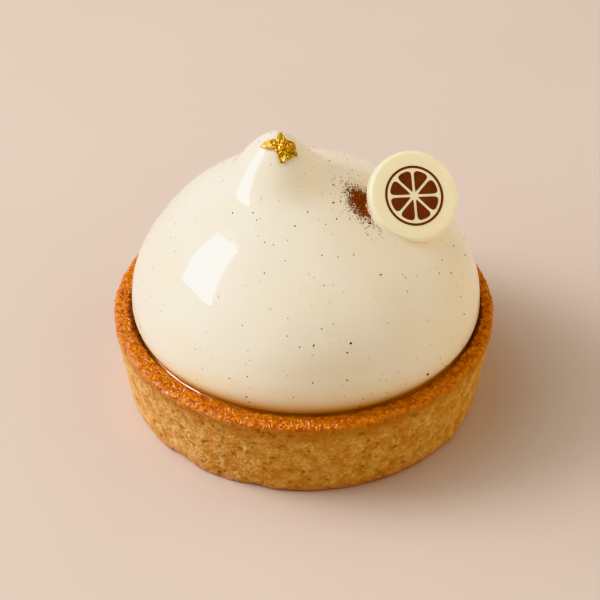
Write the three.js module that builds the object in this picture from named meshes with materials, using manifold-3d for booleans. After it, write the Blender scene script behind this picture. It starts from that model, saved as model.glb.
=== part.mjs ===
// A lemon tartlet: a crisp shortcrust shell, a lemon filling that shows as a ring inside its rim, a glazed
// cream dome drawn up to a soft leaning peak, a white chocolate disc pressed into the dome, a dusting of
// cocoa in coarse grains, and a torn flake of gold leaf on the peak.
// Millimetres, +Z up. The origin is the middle of the flat base, and the front of the tartlet faces -Y.

import * as THREE from "three";
import { ImprovedNoise } from "three/addons/math/ImprovedNoise.js";
import { mergeVertices } from "three/addons/utils/BufferGeometryUtils.js";
import Module from "manifold-3d";

const wasm = await Module();
wasm.setup();

// Shortcrust shell, baked in a ring of 80 mm. Its hollow lies a little right and back of the middle, so the
// wall is thickest at the front left.
const RIM_RADIUS = 40;
const BASE_RADIUS = 37.2;
const SHELL_HEIGHT = 19.6;
const WALL = 4;
const FLOOR = 3;
const OUTER_ROUNDING = 1.2;
const INNER_ROUNDING = 0.8;
const FOOT_ROUNDING = 0.8;
const HOLLOW_SHIFT = new THREE.Vector2(0.45, 0.4);
const SHELL_SEGMENTS = 136;
const WALL_ROWS = 8;
const ROUNDING_ROWS = 3;

// Baked relief on the shell: shallow bumps all over the outside, and chips along the bottom edge
const BUMP_SIZE = 5;
const SMALL_BUMP_SIZE = 2.5;
const SMALL_BUMP_SHARE = 0.5;
const BUMP_DEPTH = 0.32;
const INNER_BUMP_DEPTH = 0.08;
const CHIP_SIZE = 5.5;
const CHIP_DEPTH = 1.1;
const CHIP_HEIGHT = 2.6;

// Lemon filling, level under the dome and drawn up a little where it meets the shell
const FILLING_LEVEL = 17.2;
const FILLING_EDGE = 17.7;
const FILLING_GAP = 0.3;
const FILLING_CREEP = 0.6;
const FILLING_EDGE_ROWS = 5;
const FILLING_SEGMENTS = 72;

// Cream dome: radius and height at its foot, its widest ring, the hollow under its peak and the neck
const DOME_FOOT = new THREE.Vector2(29, FILLING_LEVEL);
const DOME_BELLY = new THREE.Vector2(36.6, 22.3);
const DOME_HOLLOW = new THREE.Vector2(15.6, 48.4);
const DOME_NECK = new THREE.Vector2(8, 54.4);
const PEAK_HEIGHT = 61.2;
const DOME_SEGMENTS = 72;
const DOME_ROWS = [4, 11, 5, 5];
const DOME_FINE_ROWS = [20, 80, 40, 40];
const DOME_HALVINGS = 40;
const DOME_SLOPE_REACH = 0.3;

// How far the outline runs outward for each step up, and how long its curve handles are at those places
const HOLLOW_RUN = -1.6;
const NECK_RUN = -0.77;
const FOOT_HANDLE = 4.2;
const BELLY_HANDLES = [2.8, 13];
const HOLLOW_HANDLES = [10.9, 4.5];
const NECK_HANDLES = [4.5, 2.7];
const TIP_HANDLE = 2.1;

// The dome sits a little right of the shell, and its peak leans to the left and back
const DOME_SHIFT = 0.45;
const PEAK_LEFT = 6;
const LEAN_FROM = 32;
const LEAN_TO = 56.6;
const PEAK_BACK = 3;
const BEND_FROM = 37.6;

// White chocolate disc, standing like a fin with its lower left edge in the dome
const DISC_RADIUS = 9.4;
const DISC_THICKNESS = 3;
const DISC_ROUNDING = 0.85;
const DISC_CENTRE = new THREE.Vector3(22, -0.9, 48);
const DISC_TILT = THREE.MathUtils.degToRad(45);
const DISC_TURN = THREE.MathUtils.degToRad(21.5);
const DISC_SEGMENTS = 48;
const SOCKET_GAP = 0.3;

// Cocoa: coarse grains in a drift beside the disc
const COCOA_MIDDLE = new THREE.Vector2(11.2, -1.8);
const COCOA_REACH = new THREE.Vector2(5, 8);
const COCOA_GRAINS = 26;
const COCOA_SMALLEST = 0.32;
const COCOA_LARGEST = 0.55;
const COCOA_SPACING = 1.15;
const COCOA_RISE = 0.3;
const COCOA_CLEARANCE = 0.8;
const COCOA_SEED = 17;

// Gold leaf: a torn flake with six points, crumpled over the peak
const LEAF_MIDDLE = new THREE.Vector2(-4.4, 0.3);
const LEAF_CORE = 1.45;
const LEAF_ARMS = [
  { angle: 28, reach: 2.7 },
  { angle: 104, reach: 2.5 },
  { angle: 171, reach: 3.9 },
  { angle: 268, reach: 3 },
  { angle: 308, reach: 2.4 },
  { angle: 348, reach: 2.8 },
];
const LEAF_ARM_WIDTH = THREE.MathUtils.degToRad(20);
const LEAF_THICKNESS = 0.2;
const LEAF_CLEARANCE = 0.32;
const LEAF_CRUMPLE = 0.55;
const LEAF_CREASE = 1.3;
const LEAF_RINGS = 5;
const LEAF_SEGMENTS = 36;

const noise = new ImprovedNoise();

// A solid of revolution about Z from points of radius and height
function turned(points, segments) {
  const geometry = new THREE.LatheGeometry(points, segments);
  geometry.rotateX(Math.PI / 2);
  return welded(geometry);
}

// Only positions, with vertices in the same place merged
function welded(geometry) {
  const bare = new THREE.BufferGeometry();
  bare.setAttribute("position", geometry.getAttribute("position").clone());
  bare.setIndex(geometry.index);
  return mergeVertices(bare);
}

// Points of an arc about a centre, from one angle to another in degrees
function arc(centreX, centreY, radius, from, to, rows) {
  const start = THREE.MathUtils.degToRad(from);
  const end = THREE.MathUtils.degToRad(to);
  const curve = new THREE.EllipseCurve(centreX, centreY, radius, radius, start, end, end < start);
  return curve.getPoints(rows);
}

// Outer radius of the straight flared wall of the shell at a height
function shellRadius(z) {
  return THREE.MathUtils.lerp(BASE_RADIUS, RIM_RADIUS, z / SHELL_HEIGHT);
}

// Moves every vertex of a geometry by a function that changes it in place
function reshaped(geometry, move) {
  const position = geometry.getAttribute("position");
  const normal = geometry.getAttribute("normal");
  const point = new THREE.Vector3();
  const outward = new THREE.Vector3();
  for (let i = 0; i < position.count; i += 1) {
    point.fromBufferAttribute(position, i);
    if (normal) {
      outward.fromBufferAttribute(normal, i);
    }
    move(point, outward);
    position.setXYZ(i, point.x, point.y, point.z);
  }
  geometry.deleteAttribute("normal");
  return geometry;
}

function noiseAt(point, size) {
  return noise.noise(point.x / size, point.y / size, point.z / size);
}

// Baked relief: bumps along the normal and chips at the foot outside, fainter bumps on the rim's inner edge,
// and none on the flat base or below the filling
function bake(point, outward) {
  const radius = Math.hypot(point.x, point.y);
  const bump = noiseAt(point, BUMP_SIZE) + SMALL_BUMP_SHARE * noiseAt(point, SMALL_BUMP_SIZE);
  if (radius < shellRadius(point.z) - WALL / 2) {
    const above = point.z > FILLING_LEVEL;
    point.addScaledVector(outward, above ? INNER_BUMP_DEPTH * bump : 0);
    point.x += point.z > 0 ? HOLLOW_SHIFT.x : 0;
    point.y += point.z > 0 ? HOLLOW_SHIFT.y : 0;
    return;
  }
  const chipPlace = point.clone().setZ(0);
  const chip = Math.max(0, noiseAt(chipPlace, CHIP_SIZE)) * CHIP_DEPTH;
  const low = 1 - THREE.MathUtils.smoothstep(point.z, 0, CHIP_HEIGHT);
  const lift = THREE.MathUtils.smoothstep(point.z, 0, FOOT_ROUNDING);
  point.addScaledVector(outward, BUMP_DEPTH * bump * lift);
  const shrink = 1 - (chip * low) / radius;
  point.x *= shrink;
  point.y *= shrink;
}

function crustGeometry() {
  const foot = BASE_RADIUS - FOOT_ROUNDING;
  const wallTop = SHELL_HEIGHT - OUTER_ROUNDING;
  const inside = RIM_RADIUS - WALL;
  const points = [new THREE.Vector2(0, 0)];
  points.push(...arc(foot, FOOT_ROUNDING, FOOT_ROUNDING, 270, 360, ROUNDING_ROWS));
  for (let row = 1; row < WALL_ROWS; row += 1) {
    const z = THREE.MathUtils.lerp(FOOT_ROUNDING, wallTop, row / WALL_ROWS);
    points.push(new THREE.Vector2(shellRadius(z), z));
  }
  const innerTop = SHELL_HEIGHT - INNER_ROUNDING;
  points.push(...arc(RIM_RADIUS - OUTER_ROUNDING, wallTop, OUTER_ROUNDING, 0, 90, ROUNDING_ROWS));
  points.push(...arc(inside + INNER_ROUNDING, innerTop, INNER_ROUNDING, 90, 180, ROUNDING_ROWS));
  points.push(new THREE.Vector2(shellRadius(FLOOR) - WALL, FLOOR));
  points.push(new THREE.Vector2(0, FLOOR));
  const geometry = turned(points, SHELL_SEGMENTS);
  geometry.computeVertexNormals();
  return reshaped(geometry, bake);
}

function fillingGeometry() {
  const wallAt = (z) => shellRadius(z) - WALL - FILLING_GAP;
  const level = DOME_FOOT.x + DOME_SHIFT;
  const edge = new THREE.CubicBezierCurve(
    new THREE.Vector2(level, FILLING_LEVEL),
    new THREE.Vector2(THREE.MathUtils.lerp(level, wallAt(FILLING_EDGE), FILLING_CREEP), FILLING_LEVEL),
    new THREE.Vector2(wallAt(FILLING_EDGE), FILLING_LEVEL),
    new THREE.Vector2(wallAt(FILLING_EDGE), FILLING_EDGE),
  );
  const points = [new THREE.Vector2(0, FLOOR), new THREE.Vector2(wallAt(FLOOR), FLOOR)];
  points.push(...edge.getPoints(FILLING_EDGE_ROWS).reverse());
  points.push(new THREE.Vector2(0, FILLING_LEVEL));
  return turned(points, FILLING_SEGMENTS).translate(HOLLOW_SHIFT.x, HOLLOW_SHIFT.y, 0);
}

// A curve handle: a point so far from another along a line that runs so far outward for each step up
function handle(from, run, length) {
  return new THREE.Vector2(run, 1).normalize().multiplyScalar(length).add(from);
}

// The dome's outline from its foot to its peak: a tucked foot, a full shoulder, a hollow and a rounded tip
function domeOutline(rows) {
  const corners = [
    DOME_FOOT,
    new THREE.Vector2(DOME_FOOT.x + FOOT_HANDLE, DOME_FOOT.y),
    handle(DOME_BELLY, 0, -BELLY_HANDLES[0]),
    DOME_BELLY,
    handle(DOME_BELLY, 0, BELLY_HANDLES[1]),
    handle(DOME_HOLLOW, HOLLOW_RUN, -HOLLOW_HANDLES[0]),
    DOME_HOLLOW,
    handle(DOME_HOLLOW, HOLLOW_RUN, HOLLOW_HANDLES[1]),
    handle(DOME_NECK, NECK_RUN, -NECK_HANDLES[0]),
    DOME_NECK,
    handle(DOME_NECK, NECK_RUN, NECK_HANDLES[1]),
    new THREE.Vector2(TIP_HANDLE, PEAK_HEIGHT),
    new THREE.Vector2(0, PEAK_HEIGHT),
  ];
  const points = [DOME_FOOT];
  rows.forEach((count, stretch) => {
    const curve = new THREE.CubicBezierCurve(...corners.slice(3 * stretch, 3 * stretch + 4));
    points.push(...curve.getPoints(count).slice(1));
  });
  return points;
}

// Where the dome's middle lies at a height
function domeMiddle(z) {
  const left = PEAK_LEFT * THREE.MathUtils.smoothstep(z, LEAN_FROM, LEAN_TO);
  const back = PEAK_BACK * THREE.MathUtils.smoothstep(z, BEND_FROM, PEAK_HEIGHT);
  return new THREE.Vector2(DOME_SHIFT - left, back);
}

const fineOutline = domeOutline(DOME_FINE_ROWS);

function domeRadius(z) {
  const above = fineOutline.findIndex((point) => point.y >= z);
  if (above <= 0) {
    return above < 0 ? 0 : DOME_FOOT.x;
  }
  const low = fineOutline[above - 1];
  const high = fineOutline[above];
  return THREE.MathUtils.mapLinear(z, low.y, high.y, low.x, high.x);
}

// Height of the dome's upper surface over a point of the plan, by halving
function domeHeight(x, y) {
  let low = DOME_BELLY.y;
  let high = PEAK_HEIGHT;
  for (let step = 0; step < DOME_HALVINGS; step += 1) {
    const z = (low + high) / 2;
    const middle = domeMiddle(z);
    if (Math.hypot(x - middle.x, y - middle.y) < domeRadius(z)) {
      low = z;
    } else {
      high = z;
    }
  }
  return low;
}

// The point of the dome over a point of the plan, moved out along the dome's normal
function overDome(x, y, distance) {
  const reach = DOME_SLOPE_REACH;
  const slopeX = (domeHeight(x + reach, y) - domeHeight(x - reach, y)) / (2 * reach);
  const slopeY = (domeHeight(x, y + reach) - domeHeight(x, y - reach)) / (2 * reach);
  const normal = new THREE.Vector3(-slopeX, -slopeY, 1).normalize();
  return new THREE.Vector3(x, y, domeHeight(x, y)).addScaledVector(normal, distance);
}

function discGeometry(grow) {
  const half = DISC_THICKNESS / 2 + grow;
  const radius = DISC_RADIUS + grow;
  const corner = radius - DISC_ROUNDING;
  const points = [new THREE.Vector2(0, -half)];
  points.push(...arc(corner, DISC_ROUNDING - half, DISC_ROUNDING, 270, 360, ROUNDING_ROWS));
  points.push(...arc(corner, half - DISC_ROUNDING, DISC_ROUNDING, 0, 90, ROUNDING_ROWS));
  points.push(new THREE.Vector2(0, half));
  return turned(points, DISC_SEGMENTS);
}

// The group that holds the disc: its face looks at the front, up and a little to the right
function discPlace() {
  const place = new THREE.Group();
  place.position.copy(DISC_CENTRE);
  place.rotation.set(DISC_TILT, 0, DISC_TURN, "ZXY");
  place.updateMatrixWorld();
  return place;
}

// A repeatable stream of numbers from 0 to 1
function seededRandom(seed) {
  let state = seed;
  return () => {
    state = (state * 1664525 + 1013904223) % 4294967296;
    return state / 4294967296;
  };
}

// Grains scattered thickest in the middle of the drift, clear of each other and of the disc
function cocoaGrains(place) {
  const random = seededRandom(COCOA_SEED);
  const bell = () => (random() + random() + random() + random()) / 2 - 1;
  const toDisc = place.matrixWorld.clone().invert();
  const grains = [];
  const taken = [];
  while (grains.length < COCOA_GRAINS) {
    const x = COCOA_MIDDLE.x + COCOA_REACH.x * bell();
    const y = COCOA_MIDDLE.y + COCOA_REACH.y * bell();
    const size = THREE.MathUtils.lerp(COCOA_SMALLEST, COCOA_LARGEST, random());
    const turn = new THREE.Vector3(random(), random(), random()).multiplyScalar(2 * Math.PI);
    const spot = overDome(x, y, size * COCOA_RISE);
    const beside = spot.clone().applyMatrix4(toDisc);
    const gap = Math.hypot(beside.x, beside.y) - DISC_RADIUS - size;
    const near = gap < COCOA_CLEARANCE && Math.abs(beside.z) < DISC_THICKNESS + size;
    if (near || taken.some((other) => other.distanceTo(spot) < COCOA_SPACING)) {
      continue;
    }
    taken.push(spot);
    const grain = new THREE.IcosahedronGeometry(size, 0);
    grain.applyMatrix4(new THREE.Matrix4().makeRotationFromEuler(new THREE.Euler(turn.x, turn.y, turn.z)));
    grain.translate(spot.x, spot.y, spot.z);
    grains.push(welded(grain));
  }
  return grains;
}

function solidOf(geometry) {
  const vertProperties = new Float32Array(geometry.getAttribute("position").array);
  const triVerts = new Uint32Array(geometry.index.array);
  const mesh = new wasm.Mesh({ numProp: 3, vertProperties, triVerts });
  mesh.merge();
  return new wasm.Manifold(mesh);
}

function geometryOf(solid) {
  const mesh = solid.getMesh();
  const geometry = new THREE.BufferGeometry();
  geometry.setAttribute("position", new THREE.BufferAttribute(new Float32Array(mesh.vertProperties), 3));
  geometry.setIndex(new THREE.BufferAttribute(new Uint32Array(mesh.triVerts), 1));
  return geometry;
}

function domeGeometry(place) {
  const outline = [new THREE.Vector2(0, FILLING_LEVEL), ...domeOutline(DOME_ROWS)];
  const plain = reshaped(turned(outline, DOME_SEGMENTS), (point) => {
    const middle = domeMiddle(point.z);
    point.x += middle.x;
    point.y += middle.y;
  });
  const socket = discGeometry(SOCKET_GAP).applyMatrix4(place.matrixWorld);
  let solid = solidOf(plain).subtract(solidOf(socket));
  for (const grain of cocoaGrains(place)) {
    solid = solid.add(solidOf(grain));
  }
  return geometryOf(solid);
}

// How far the torn leaf reaches in a direction of the plan
function leafReach(angle) {
  let reach = LEAF_CORE;
  for (const arm of LEAF_ARMS) {
    const off = angle - THREE.MathUtils.degToRad(arm.angle);
    const away = Math.atan2(Math.sin(off), Math.cos(off)) / LEAF_ARM_WIDTH;
    reach += (arm.reach - LEAF_CORE) * Math.exp(-away * away);
  }
  return reach;
}

// Two faces of the same rings and spokes, joined round the torn edge
function leafGeometry() {
  const positions = [];
  const index = [];
  const perFace = 1 + LEAF_RINGS * LEAF_SEGMENTS;
  for (const lift of [0, LEAF_THICKNESS]) {
    for (let ring = 0; ring <= LEAF_RINGS; ring += 1) {
      const spokes = ring === 0 ? 1 : LEAF_SEGMENTS;
      for (let spoke = 0; spoke < spokes; spoke += 1) {
        const angle = (spoke / LEAF_SEGMENTS) * 2 * Math.PI;
        const reach = (ring / LEAF_RINGS) * leafReach(angle);
        const x = LEAF_MIDDLE.x + reach * Math.cos(angle);
        const y = LEAF_MIDDLE.y + reach * Math.sin(angle);
        const crease = Math.abs(noise.noise(x / LEAF_CREASE, y / LEAF_CREASE, 0.5));
        positions.push(...overDome(x, y, LEAF_CLEARANCE + LEAF_CRUMPLE * crease + lift));
      }
    }
  }
  const vertex = (face, ring, spoke) => {
    const around = spoke % LEAF_SEGMENTS;
    return face * perFace + (ring === 0 ? 0 : 1 + (ring - 1) * LEAF_SEGMENTS + around);
  };
  const both = (a, b, c) => {
    index.push(vertex(1, ...a), vertex(1, ...b), vertex(1, ...c));
    index.push(vertex(0, ...a), vertex(0, ...c), vertex(0, ...b));
  };
  for (let spoke = 0; spoke < LEAF_SEGMENTS; spoke += 1) {
    both([0, 0], [1, spoke], [1, spoke + 1]);
    for (let ring = 1; ring < LEAF_RINGS; ring += 1) {
      both([ring, spoke], [ring + 1, spoke], [ring + 1, spoke + 1]);
      both([ring, spoke], [ring + 1, spoke + 1], [ring, spoke + 1]);
    }
    const low = vertex(0, LEAF_RINGS, spoke);
    const lowNext = vertex(0, LEAF_RINGS, spoke + 1);
    const high = vertex(1, LEAF_RINGS, spoke);
    const highNext = vertex(1, LEAF_RINGS, spoke + 1);
    index.push(low, lowNext, highNext, low, highNext, high);
  }
  const geometry = new THREE.BufferGeometry();
  geometry.setAttribute("position", new THREE.Float32BufferAttribute(positions, 3));
  geometry.setIndex(index);
  return geometry;
}

function piece(name, geometry, color, roughness, metalness = 0) {
  const mesh = new THREE.Mesh(geometry, new THREE.MeshStandardMaterial({ color, roughness, metalness }));
  mesh.name = name;
  return mesh;
}

const tartlet = new THREE.Group();
const disc = discPlace();
disc.add(piece("chocolate_disc", discGeometry(0), 0xead4ac, 0.4));
tartlet.add(piece("crust", crustGeometry(), 0xb9782f, 0.75));
tartlet.add(piece("filling", fillingGeometry(), 0x9a5a16, 0.2));
tartlet.add(piece("cream_dome", domeGeometry(disc), 0xf0e2c4, 0.12));
tartlet.add(disc);
tartlet.add(piece("gold_leaf", leafGeometry(), 0xd79920, 0.25, 1));

export default tartlet;
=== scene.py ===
# %% [markdown]
# A lemon tartlet in Blender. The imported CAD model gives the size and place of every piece: a shortcrust
# shell, a lemon filling, a cream dome, a white chocolate disc and a flake of gold leaf. This lesson builds
# a finer mesh over each of those solids and gives each its finish. It adds what is too fine for a solid,
# such as the print, the specks and the cocoa, and sets up a floor, a window light and a camera.

# %% Load the frame
import math

import bmesh
import bpy
import numpy as np
from mathutils import Matrix, Vector, noise


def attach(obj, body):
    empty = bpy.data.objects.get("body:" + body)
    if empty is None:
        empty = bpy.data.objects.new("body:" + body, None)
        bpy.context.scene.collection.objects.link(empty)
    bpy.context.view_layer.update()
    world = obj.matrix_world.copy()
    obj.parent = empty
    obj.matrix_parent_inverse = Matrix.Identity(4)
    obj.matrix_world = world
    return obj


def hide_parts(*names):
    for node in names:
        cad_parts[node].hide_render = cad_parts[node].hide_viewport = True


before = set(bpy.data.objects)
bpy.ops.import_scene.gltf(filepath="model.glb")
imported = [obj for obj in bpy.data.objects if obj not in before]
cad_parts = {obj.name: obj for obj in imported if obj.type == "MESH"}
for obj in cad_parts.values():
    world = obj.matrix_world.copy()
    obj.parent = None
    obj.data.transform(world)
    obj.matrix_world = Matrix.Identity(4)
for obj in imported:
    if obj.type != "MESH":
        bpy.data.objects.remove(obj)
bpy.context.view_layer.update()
MM = 0.001
print("the frame has", len(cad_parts), "nodes")

# %% [markdown]
# Every shape below is worked out in millimetres with NumPy arrays, because a baker thinks in millimetres.
# Blender's own unit here is the metre, so one function turns points into a mesh and scales them on the way.
# Most pieces are rings of points, one above the other, closed at both ends by a fan of triangles.

# %% Meshes from points and from rings
def make_piece(name, points, faces, material=None, smooth=True):
    """A mesh object from points in mm and faces that index them."""
    mesh = bpy.data.meshes.new(name)
    mesh.from_pydata((np.asarray(points) * MM).tolist(), [], faces)
    if smooth:
        mesh.shade_smooth()
    piece = bpy.data.objects.new(name, mesh)
    bpy.context.scene.collection.objects.link(piece)
    if material:
        mesh.materials.append(material)
    print(name, "has", sum(len(face) - 2 for face in faces), "triangles")
    return piece


def band_faces(rows, around):
    """Faces between rings of points, from each ring to the next."""
    faces = []
    for low in range(0, (rows - 1) * around, around):
        high = low + around
        for j in range(around):
            k = (j + 1) % around
            faces.append((low + j, low + k, high + k, high + j))
    return faces


def ring_faces(rows, around):
    """Faces over rings of points from first to last, with a start point and an end point after them."""
    start, end = rows * around, rows * around + 1
    last = (rows - 1) * around
    faces = band_faces(rows, around)
    for j in range(around):
        k = (j + 1) % around
        faces += [(start, k, j), (last + j, last + k, end)]
    return faces


def piece_from_rings(name, rings, start, end, material=None):
    rows, around = rings.shape[:2]
    points = np.vstack([rings.reshape(-1, 3), [start], [end]])
    return make_piece(name, points, ring_faces(rows, around), material)


# %% Arcs, smooth steps and turned outlines
def arc(centre, radius, start, end, count):
    angles = np.radians(np.linspace(start, end, count))
    return np.column_stack([centre[0] + radius * np.cos(angles), centre[1] + radius * np.sin(angles)])


def smoothstep(value, low, high):
    t = np.clip((np.asarray(value, float) - low) / (high - low), 0, 1)
    return t * t * (3 - 2 * t)


def turned(outline, around):
    """Rings of points about Z from an outline of radius and height."""
    angles = np.linspace(0, 2 * math.pi, around, endpoint=False)
    radius, height = outline[:, :1], outline[:, 1:]
    return np.stack([radius * np.cos(angles), radius * np.sin(angles), height + 0 * angles], axis=2)


# %% [markdown]
# Materials are graphs of nodes. Small helpers keep their code short: one adds a node and fills or links its
# sockets, and one starts a material. Colours are easier to judge as they look on a screen, from 0 to 255,
# while shaders mix linear light, so they are converted once.

# %% Colours and nodes
def seen(red, green, blue):
    """A colour as it looks on a screen, turned into linear light."""
    channels = [c / 255 for c in (red, green, blue)]
    linear = [c / 12.92 if c <= 0.04045 else ((c + 0.055) / 1.055) ** 2.4 for c in channels]
    return (*linear, 1.0)


def add(tree, kind, sockets=None, **settings):
    """A node of this kind with its settings; each named socket gets a value or a link."""
    node = tree.nodes.new(kind)
    for name, value in settings.items():
        setattr(node, name, value)
    for name, value in (sockets or {}).items():
        if isinstance(value, bpy.types.NodeSocket):
            tree.links.new(value, node.inputs[name])
        else:
            node.inputs[name].default_value = value
    return node


def maths(tree, operation, first, second):
    return add(tree, "ShaderNodeMath", {0: first, 1: second}, operation=operation).outputs[0]


def step_between(tree, value, low, high):
    """A smooth step from 0 at the low value to 1 at the high one."""
    sockets = {"Value": value, "From Min": low, "From Max": high}
    return add(tree, "ShaderNodeMapRange", sockets, interpolation_type="SMOOTHSTEP").outputs["Result"]


def blend(tree, factor, first, second):
    """A mix of two colours. Its sockets go by number, because other kinds of mix share their names."""
    return add(tree, "ShaderNodeMix", {0: factor, 6: first, 7: second}, data_type="RGBA").outputs[2]


# %% Start a material
def new_material(name):
    """A material with an empty graph, its tree, and its Principled shader linked to the output."""
    material = bpy.data.materials.new(name)
    material.use_nodes = True
    tree = material.node_tree
    tree.nodes.clear()
    shader = add(tree, "ShaderNodeBsdfPrincipled")
    add(tree, "ShaderNodeOutputMaterial", {"Surface": shader.outputs["BSDF"]})
    print("finish", name)
    return material, tree, shader


def settle(shader, **values):
    """Plain values that hold all over a surface, set on the shader's own sockets."""
    for name, value in values.items():
        shader.inputs[name.replace("_", " ")].default_value = value


# %% [markdown]
# Some effects turn up on several surfaces of a tartlet. Baked dough, glaze, chocolate and even the paper
# floor drift between two tones. Dough, cocoa, chocolate and paper have a fine grain that catches light.
# Each effect becomes a node group, built once and placed in each material with its own values. A third
# group makes specks. Only the glaze uses it, and a group keeps the glaze's own graph short. All three read
# object coordinates, so the pattern is fixed in the piece and needs no unwrapping.

# %% Start a node group
def new_group(name, inputs, outputs):
    group = bpy.data.node_groups.new(name, "ShaderNodeTree")
    for label, (kind, value) in inputs.items():
        socket = group.interface.new_socket(label, in_out="INPUT", socket_type=kind)
        socket.default_value = value
    for label, kind in outputs.items():
        group.interface.new_socket(label, in_out="OUTPUT", socket_type=kind)
    entry = group.nodes.new("NodeGroupInput")
    leave = group.nodes.new("NodeGroupOutput")
    return group, entry.outputs, leave.inputs


def scaled(tree, vector, share):
    return add(tree, "ShaderNodeVectorMath", {0: vector, "Scale": share}, operation="SCALE").outputs[0]


def pattern_place(tree, size):
    """Object coordinates in units of a pattern's size."""
    place = add(tree, "ShaderNodeTexCoord").outputs["Object"]
    return scaled(tree, place, maths(tree, "DIVIDE", 1.0, size))


# %% Mottling
def mottling_group():
    inputs = {
        "First Tone": ("NodeSocketColor", seen(200, 200, 200)),
        "Second Tone": ("NodeSocketColor", seen(100, 100, 100)),
        "Size": ("NodeSocketFloat", 5 * MM),
        "Softness": ("NodeSocketFloat", 0.2),
    }
    outputs = {"Color": "NodeSocketColor", "Mask": "NodeSocketFloat"}
    group, given, made = new_group("Mottling", inputs, outputs)
    place = pattern_place(group, given["Size"])
    cloud = add(group, "ShaderNodeTexNoise", {"Vector": place, "Scale": 1.0, "Detail": 4.0}).outputs["Fac"]
    low = maths(group, "SUBTRACT", 0.5, given["Softness"])
    high = maths(group, "ADD", 0.5, given["Softness"])
    mask = step_between(group, cloud, low, high)
    group.links.new(blend(group, mask, given["First Tone"], given["Second Tone"]), made["Color"])
    group.links.new(mask, made["Mask"])
    return group


mottling = mottling_group()
print("node group", mottling.name)


# %% Grain
def grain_group():
    inputs = {"Size": ("NodeSocketFloat", 0.5 * MM)}
    group, given, made = new_group("Grain", inputs, {"Height": "NodeSocketFloat"})
    place = pattern_place(group, given["Size"])
    cells = add(group, "ShaderNodeTexVoronoi", {"Vector": place, "Scale": 1.0}, feature="SMOOTH_F1")
    cloud = add(group, "ShaderNodeTexNoise", {"Vector": place, "Scale": 1.6, "Detail": 3.0}).outputs["Fac"]
    group.links.new(maths(group, "SUBTRACT", cloud, cells.outputs["Distance"]), made["Height"])
    return group


grain = grain_group()
print("node group", grain.name)

# %% Specks
SPECK_CORE = 0.4


def specks_group():
    inputs = {
        "Spacing": ("NodeSocketFloat", 2 * MM),
        "Radius": ("NodeSocketFloat", 0.1),
        "Share": ("NodeSocketFloat", 0.5),
    }
    group, given, made = new_group("Specks", inputs, {"Mask": "NodeSocketFloat"})
    place = pattern_place(group, given["Spacing"])
    cells = add(group, "ShaderNodeTexVoronoi", {"Vector": place, "Scale": 1.0})
    inner = maths(group, "MULTIPLY", given["Radius"], SPECK_CORE)
    spot = step_between(group, cells.outputs["Distance"], given["Radius"], inner)
    luck = add(group, "ShaderNodeSeparateColor", {"Color": cells.outputs["Color"]}).outputs["Red"]
    kept = maths(group, "LESS_THAN", luck, given["Share"])
    group.links.new(maths(group, "MULTIPLY", spot, kept), made["Mask"])
    return group


specks = specks_group()
print("node group", specks.name)


# %% Groups at work in a material
def use(tree, group, output, **sockets):
    """Places a group in a material, and gives one of its outputs."""
    values = {name.replace("_", " "): value for name, value in sockets.items()}
    return add(tree, "ShaderNodeGroup", values, node_tree=group).outputs[output]


def two_tones(tree, tones, size, softness):
    """A colour that drifts between two tones, in patches of a size in mm."""
    first, second = (seen(*tone) for tone in tones)
    return use(tree, mottling, "Color", First_Tone=first, Second_Tone=second,
               Size=size * MM, Softness=softness)


def patches(tree, size, softness):
    """A mask of patches of a size in mm."""
    return use(tree, mottling, "Mask", Size=size * MM, Softness=softness)


def grains(tree, size):
    """The height of grains of a size in mm."""
    return use(tree, grain, "Height", Size=size * MM)


def toned(tree, colour, tone, mask, share):
    """A colour taken towards a tone by a share of a mask."""
    return blend(tree, maths(tree, "MULTIPLY", mask, share), colour, seen(*tone))


def paint(tree, shader, colour):
    tree.links.new(colour, shader.inputs["Base Color"])


def bump(tree, shader, height, depth, strength=1.0):
    """Bump with a depth in mm."""
    sockets = {"Height": height, "Distance": depth * MM, "Strength": strength}
    tree.links.new(add(tree, "ShaderNodeBump", sockets).outputs["Normal"], shader.inputs["Normal"])


def plain_finish(name, tones, size, softness, **values):
    """A material of two tones with plain values, its tree and its shader."""
    material, tree, shader = new_material(name)
    paint(tree, shader, two_tones(tree, tones, size, softness))
    settle(shader, **values)
    return material, tree, shader


# %% [markdown]
# The shell is shortcrust: butter rubbed into flour, pressed into a ring and baked. Its wall is a packed
# mass of soft grains with a few pits between them, the foot is chipped where it left the ring, and the rim
# is a rounded lip, crazed like dried mud and brushed with egg. A subdivided cylinder with a displacement
# texture could give that, but the export keeps only real vertices, so the relief is worked out here for
# each vertex of fine rings. How much of a grain, pit, rim or foot each vertex is goes into attributes for
# the colour.

# %% Sizes of the shell
RIM_RADIUS, BASE_RADIUS = 40, 37.2
SHELL_HEIGHT, FILLING_LEVEL = 19.6, 17.2
WALL, FLOOR = 4, 3
OUTER_ROUNDING, INNER_ROUNDING, FOOT_ROUNDING = 1.2, 0.8, 0.8
HOLLOW_SHIFT = np.array([0.45, 0.4])
TOP_WIDTH = WALL - OUTER_ROUNDING - INNER_ROUNDING
SHELL_AROUND = 880
BASE_RINGS_IN = (6, 2)
FOOT_STEPS, WALL_STEPS, OUTER_STEPS = 6, 70, 9
TOP_STEPS, INNER_STEPS, DEPTH_STEPS = 9, 7, 6


def shell_radius(z):
    return BASE_RADIUS + (RIM_RADIUS - BASE_RADIUS) * z / SHELL_HEIGHT


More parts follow.
